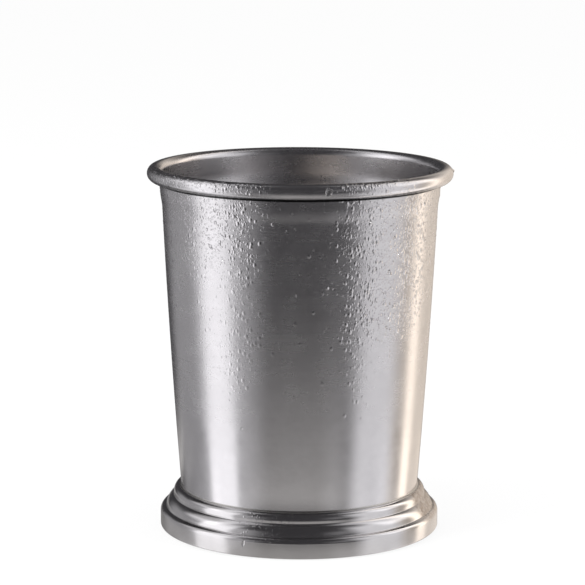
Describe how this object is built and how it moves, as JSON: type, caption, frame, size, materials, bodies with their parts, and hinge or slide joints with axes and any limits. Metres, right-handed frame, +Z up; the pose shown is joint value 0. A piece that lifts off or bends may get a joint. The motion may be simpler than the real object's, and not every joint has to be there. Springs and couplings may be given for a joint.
{
  "type": "julep cup",
  "caption": "Single-walled stainless steel julep cup: a tapered beaker with a rolled lip on a hollow, stepped ring foot, for iced drinks.",
  "frame": {"origin": "middle of the foot, on the surface that the cup stands on", "axes": "+Z up along the cup's axis; the cup is the same all round"},
  "size_m": [0.085, 0.085, 0.1021],
  "materials": {
    "satin_steel": "satin stainless steel with fine grain round the cup, a little brighter inside",
    "foot_steel": "stainless steel turned with fine rings round the steps, slightly brighter than the wall",
    "braze": "silver braze, cleaned and polished down",
    "dew": "clear beads of condensed water"
  },
  "bodies": {
    "root": {"cup_body": "satin_steel", "foot_ring": "foot_steel", "upper_braze": "braze", "lower_braze": "braze"}
  },
  "joints": []
}
